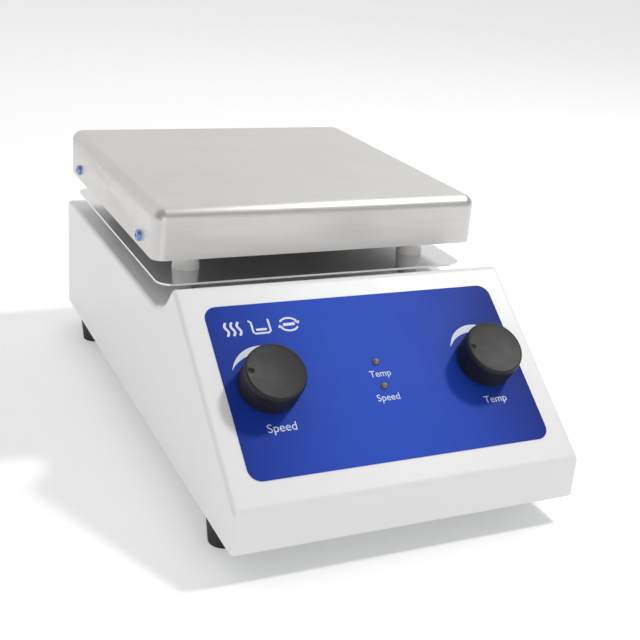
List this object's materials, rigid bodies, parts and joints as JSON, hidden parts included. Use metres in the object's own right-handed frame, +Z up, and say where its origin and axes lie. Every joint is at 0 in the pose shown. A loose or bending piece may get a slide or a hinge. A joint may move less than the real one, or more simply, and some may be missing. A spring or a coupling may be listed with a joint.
{
  "type": "magnetic stirrer hot plate",
  "caption": "Hot-plate magnetic stirrer: square metal plate on porcelain posts over a heat shield, white housing, sloping blue panel with knobs and lamps.",
  "frame": {"origin": "the stirring axis, through the centre of the work plate, where it meets the bench", "axes": "+Z up along the stirring axis; -Y towards the user, out of the control panel side; +X to the user's right as they face the panel"},
  "size_m": [0.1758, 0.3062, 0.1262],
  "materials": {
    "white_plastic": "satin",
    "floor_steel": "satin",
    "black_rubber": "matte",
    "zinc_steel": "satin",
    "blue_zinc": "polished",
    "satin_stainless": "satin",
    "mirror_stainless": "polished",
    "dark_enamel": "satin",
    "white_porcelain": "gloss",
    "cast_aluminium": "matte",
    "element_steel": "matte",
    "fibre_pad": "matte",
    "galvanised_steel": "satin",
    "motor_black": "satin",
    "bearing_steel": "polished",
    "lamination_steel": "matte",
    "copper_wire": "satin",
    "ferrite": "matte",
    "magnet_nickel": "polished",
    "blue_film": "satin",
    "knob_black": "satin",
    "pot_grey": "matte",
    "amber_lens": "gloss",
    "circuit_board": "satin",
    "inlet_black": "satin",
    "contact_brass": "satin",
    "fuse_glass": "gloss",
    "nylon": "satin",
    "transformer_core": "matte",
    "black_aluminium": "matte",
    "epoxy_black": "satin",
    "terminal_green": "satin",
    "capacitor_sleeve": "gloss",
    "silicone_wire": "satin",
    "pvc_wire": "satin",
    "silicone_grommet": "satin",
    "ribbon_grey": "satin"
  },
  "bodies": {
    "stirrer": {"housing_shell": "white_plastic", "base_plate": "floor_steel", "rubber_feet": "black_rubber", "foot_screws": "zinc_steel", "plate_cover": "satin_stainless", "cover_screws": "blue_zinc", "heater_tray": "dark_enamel", "ceramic_posts": "white_porcelain", "heat_shield": "mirror_stainless", "shield_spacers": "zinc_steel", "post_bolts": "zinc_steel", "post_nuts": "zinc_steel", "cover_studs": "zinc_steel", "stud_nuts": "zinc_steel", "heater_plate": "cast_aluminium", "insulation_pad": "fibre_pad", "clamp_sheet": "galvanised_steel", "heater_element": "element_steel", "temp_sensor": "zinc_steel", "carrier_plate": "galvanised_steel", "motor_case": "motor_black", "motor_end_cap": "motor_black", "motor_bearings": "bearing_steel", "motor_stator": "lamination_steel", "motor_coils": "copper_wire", "motor_screws": "zinc_steel", "front_label": "blue_film", "speed_pot_body": "pot_grey", "temp_pot_body": "pot_grey", "pot_nuts": "zinc_steel", "temp_lamp": "amber_lens", "speed_lamp": "amber_lens", "control_board": "circuit_board", "power_inlet": "inlet_black", "inlet_contacts": "contact_brass", "inlet_screws": "zinc_steel", "power_board": "circuit_board", "board_standoffs": "nylon", "transformer": "transformer_core", "heat_sink": "black_aluminium", "heater_triac": "epoxy_black", "terminal_block": "terminal_green", "capacitors": "capacitor_sleeve", "lead_grommet": "silicone_grommet", "control_cable": "ribbon_grey", "heater_leads": "silicone_wire", "mains_wires": "pvc_wire", "motor_leads": "pvc_wire"},
    "speed_knob": {"speed_knob": "knob_black", "speed_pot_shaft": "bearing_steel"},
    "temp_knob": {"temp_knob": "knob_black", "temp_pot_shaft": "bearing_steel"},
    "rotor": {"drive_shaft": "bearing_steel", "motor_rotor": "ferrite", "magnet_bar": "cast_aluminium", "drive_magnets": "magnet_nickel", "bar_screw": "zinc_steel"},
    "fuse_drawer": {"fuse_drawer": "inlet_black", "fuse": "fuse_glass"}
  },
  "joints": [
    {"name": "speed_knob_turn", "type": "hinge", "parent": "stirrer", "child": "speed_knob", "pos_m": [-0.0545, -0.15555, 0.0658], "axis": [0, 0.5934, -0.8049], "range_deg": [-68, 232]},
    {"name": "temp_knob_turn", "type": "hinge", "parent": "stirrer", "child": "temp_knob", "pos_m": [0.0545, -0.15555, 0.0658], "axis": [0, 0.5934, -0.8049], "range_deg": [-68, 232]},
    {"name": "rotor_spin", "type": "hinge", "parent": "stirrer", "child": "rotor", "pos_m": [0, 0, 0.05], "axis": [0, 0, 1], "continuous": true},
    {"name": "fuse_drawer_slide", "type": "slide", "parent": "stirrer", "child": "fuse_drawer", "axis": [0, 1, 0], "range_m": [0, 0.018]}
  ]
}
